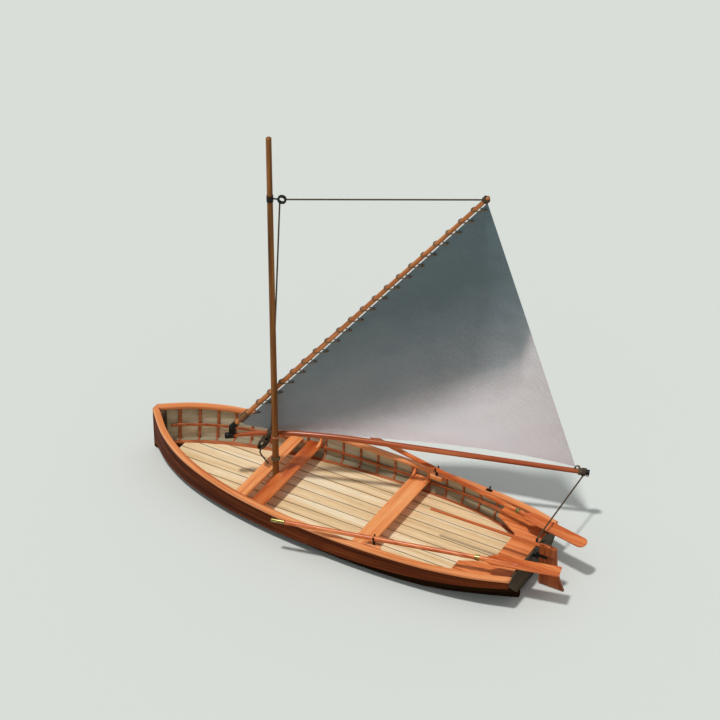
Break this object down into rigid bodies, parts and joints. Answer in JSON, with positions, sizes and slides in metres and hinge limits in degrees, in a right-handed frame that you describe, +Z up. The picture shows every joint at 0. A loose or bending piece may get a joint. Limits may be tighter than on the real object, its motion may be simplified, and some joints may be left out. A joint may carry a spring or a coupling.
{
  "type": "wooden rowing and sailing skiff with lateen rig",
  "caption": "Open wooden skiff on its flat bottom, with oars in rowlocks, rudder and tiller, stepped mast and a three-cornered sail on a yard and boom.",
  "frame": {"origin": "on the floor, in the middle of the keel strip's underside, under the middle of the hull", "axes": "+X to the bow along the keel, +Y to port, +Z up along the mast"},
  "size_m": [4.9723, 2.1576, 4.266],
  "materials": {
    "mahogany_hull": "oiled mahogany",
    "tarred_wood": "tarred",
    "weathered_board": "weathered",
    "varnished_wood": "varnished",
    "spar_wood": "varnished",
    "rib_wood": "oiled",
    "bare_boards": "bare, scrubbed",
    "sailcloth": "woven canvas",
    "rope": "laid rope",
    "leather": "greased",
    "black_iron": "forged, blacked",
    "brass": "dull brass"
  },
  "bodies": {
    "hull": {"upper_strake_port": "mahogany_hull", "upper_strake_starboard": "mahogany_hull", "stem": "mahogany_hull", "lower_strake_port": "tarred_wood", "lower_strake_starboard": "tarred_wood", "bottom_planking": "tarred_wood", "keel_strip": "tarred_wood", "bilge_runner_port": "tarred_wood", "bilge_runner_starboard": "tarred_wood", "transom": "weathered_board", "inner_stem": "weathered_board", "gunwale_port": "varnished_wood", "gunwale_starboard": "varnished_wood", "forward_thwart": "varnished_wood", "mast_thwart": "varnished_wood", "middle_thwart": "varnished_wood", "thwart_knees": "varnished_wood", "stern_seat": "varnished_wood", "rowlock_pad_port": "varnished_wood", "rowlock_pad_starboard": "varnished_wood", "mast": "spar_wood", "mast_step": "spar_wood", "ribs_port": "rib_wood", "ribs_starboard": "rib_wood", "riser_port": "rib_wood", "riser_starboard": "rib_wood", "chine_log_port": "rib_wood", "chine_log_starboard": "rib_wood", "floor_timbers": "rib_wood", "sole_boards": "bare_boards", "mast_bands": "black_iron", "quarter_rowlock": "black_iron", "transom_irons": "black_iron", "sheet_block": "black_iron", "stern_cleat": "black_iron"},
    "rig": {"yard": "spar_wood", "boom": "spar_wood", "heel_clasp": "black_iron", "sail": "sailcloth", "parrel": "leather", "boom_end_cap": "black_iron", "masthead_ring": "black_iron", "halyard_block": "black_iron", "halyard": "rope"},
    "rudder_body": {"rudder": "varnished_wood", "tiller": "varnished_wood", "rudder_irons": "black_iron"},
    "oar_port_body": {"oar_port": "varnished_wood", "oar_brass_port": "brass", "rowlock_port": "black_iron"},
    "oar_starboard_body": {"oar_starboard": "varnished_wood", "oar_brass_starboard": "brass", "rowlock_starboard": "black_iron"}
  },
  "joints": [
    {"name": "rig_swing", "type": "hinge", "parent": "hull", "child": "rig", "pos_m": [0.734, 0, 0.7], "axis": [0, 0, 1], "range_deg": [-105.2, 64.8]},
    {"name": "rudder_turn", "type": "hinge", "parent": "hull", "child": "rudder_body", "pos_m": [-2.33, 0, 0.25], "axis": [0, 0, 1], "range_deg": [-35, 35]},
    {"name": "oar_port_swing", "type": "hinge", "parent": "hull", "child": "oar_port_body", "pos_m": [-0.824, 0.658, 0.38], "axis": [0, 0, -1], "range_deg": [0, 48]},
    {"name": "oar_starboard_swing", "type": "hinge", "parent": "hull", "child": "oar_starboard_body", "pos_m": [-0.824, -0.658, 0.38], "axis": [0, 0, 1], "range_deg": [0, 45]}
  ]
}
